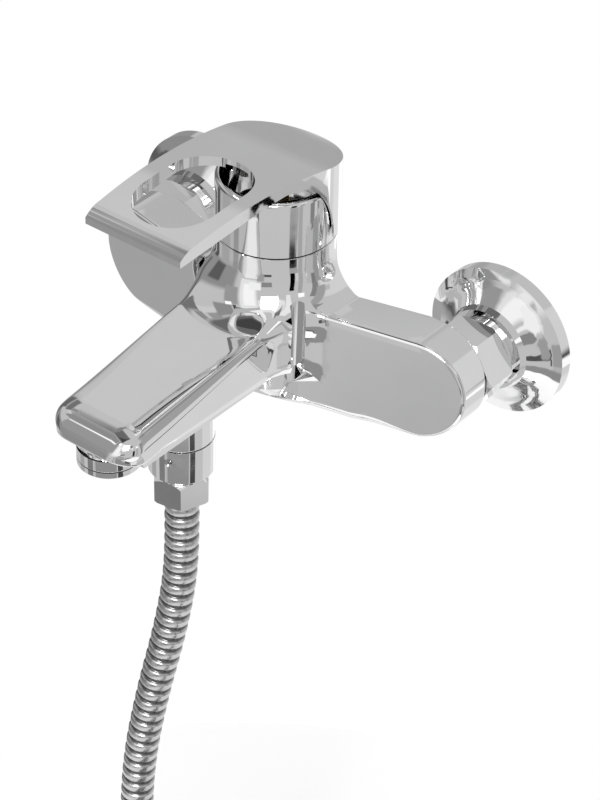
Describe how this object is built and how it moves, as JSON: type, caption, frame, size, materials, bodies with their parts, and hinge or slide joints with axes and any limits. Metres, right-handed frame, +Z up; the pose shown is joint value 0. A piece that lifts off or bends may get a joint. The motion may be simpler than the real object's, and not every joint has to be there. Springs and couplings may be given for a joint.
{
  "type": "bath mixer",
  "caption": "Wall-mounted single-lever bath mixer with a flat spout, eccentric unions, a turning diverter collar and a ribbed shower hose put away in a tied coil.",
  "frame": {"origin": "on the plane of the finished wall, midway between the two inlets and at the height of the inlets' axis", "axes": "+Y into the wall, so the spout points along -Y; +X to the right seen from in front, the cold side; +Z up"},
  "size_m": [0.2574, 0.1895, 0.4703],
  "materials": {
    "body_chrome": "polished plating over a brass casting",
    "trim_chrome": "polished plating",
    "flange_chrome": "polished plating on pressed sheet",
    "hose_metal": "bright ribbed metal sleeve",
    "brass": "machined",
    "steel": "bright",
    "rubber": "matte black",
    "cartridge_plastic": "moulded, off white",
    "insert_plastic": "moulded, white",
    "ceramic": null,
    "tie_plastic": "black strap"
  },
  "bodies": {
    "mixer": {"mixer_body": "body_chrome", "trim_cap": "trim_chrome", "cartridge_nut": "brass", "cartridge_housing": "cartridge_plastic", "cartridge_base": "cartridge_plastic", "base_seals": "rubber", "fixed_disc": "ceramic", "eccentric_hot": "brass", "inlet_washer_hot": "rubber", "inlet_nipple_hot": "brass", "union_nut_hot": "trim_chrome", "wall_flange_hot": "flange_chrome", "eccentric_cold": "brass", "inlet_washer_cold": "rubber", "inlet_nipple_cold": "brass", "union_nut_cold": "trim_chrome", "wall_flange_cold": "flange_chrome", "aerator_housing": "body_chrome", "aerator_insert": "insert_plastic", "aerator_washer": "rubber", "outlet_stem": "brass", "hose_washer": "rubber", "hose_ferrule": "brass", "hose_nut": "trim_chrome", "hose_drop": "hose_metal", "hose_coil": "hose_metal", "hose_tie": "tie_plastic", "hose_end_ferrule": "brass", "hose_end_nut": "trim_chrome", "hose_end_washer": "rubber"},
    "turret": {"cartridge_carrier": "cartridge_plastic", "spindle_pin": "steel"},
    "handle": {"lever": "trim_chrome", "lever_screw": "steel", "spindle": "brass"},
    "discs": {"moving_disc": "ceramic", "disc_driver": "cartridge_plastic"},
    "diverter": {"diverter_collar": "trim_chrome", "diverter_rotor": "brass", "diverter_screw": "steel"}
  },
  "joints": [
    {"name": "lever_turn", "type": "hinge", "parent": "mixer", "child": "turret", "pos_m": [0, -0.0495, 0.038], "axis": [0, 0, 1], "range_deg": [-50, 50]},
    {"name": "lever_lift", "type": "hinge", "parent": "turret", "child": "handle", "pos_m": [0, -0.0495, 0.038], "axis": [-1, 0, 0], "range_deg": [0, 25]},
    {"name": "disc_slide", "type": "slide", "parent": "turret", "child": "discs", "axis": [0, -1, 0], "range_m": [0, 0.0043]},
    {"name": "diverter_turn", "type": "hinge", "parent": "mixer", "child": "diverter", "pos_m": [0, -0.1055, -0.032], "axis": [0, 0, 1], "range_deg": [0, 90]}
  ],
  "couplings": [
    {"joint": "disc_slide", "follows": "lever_lift", "m_per_rad": 0.0098}
  ]
}
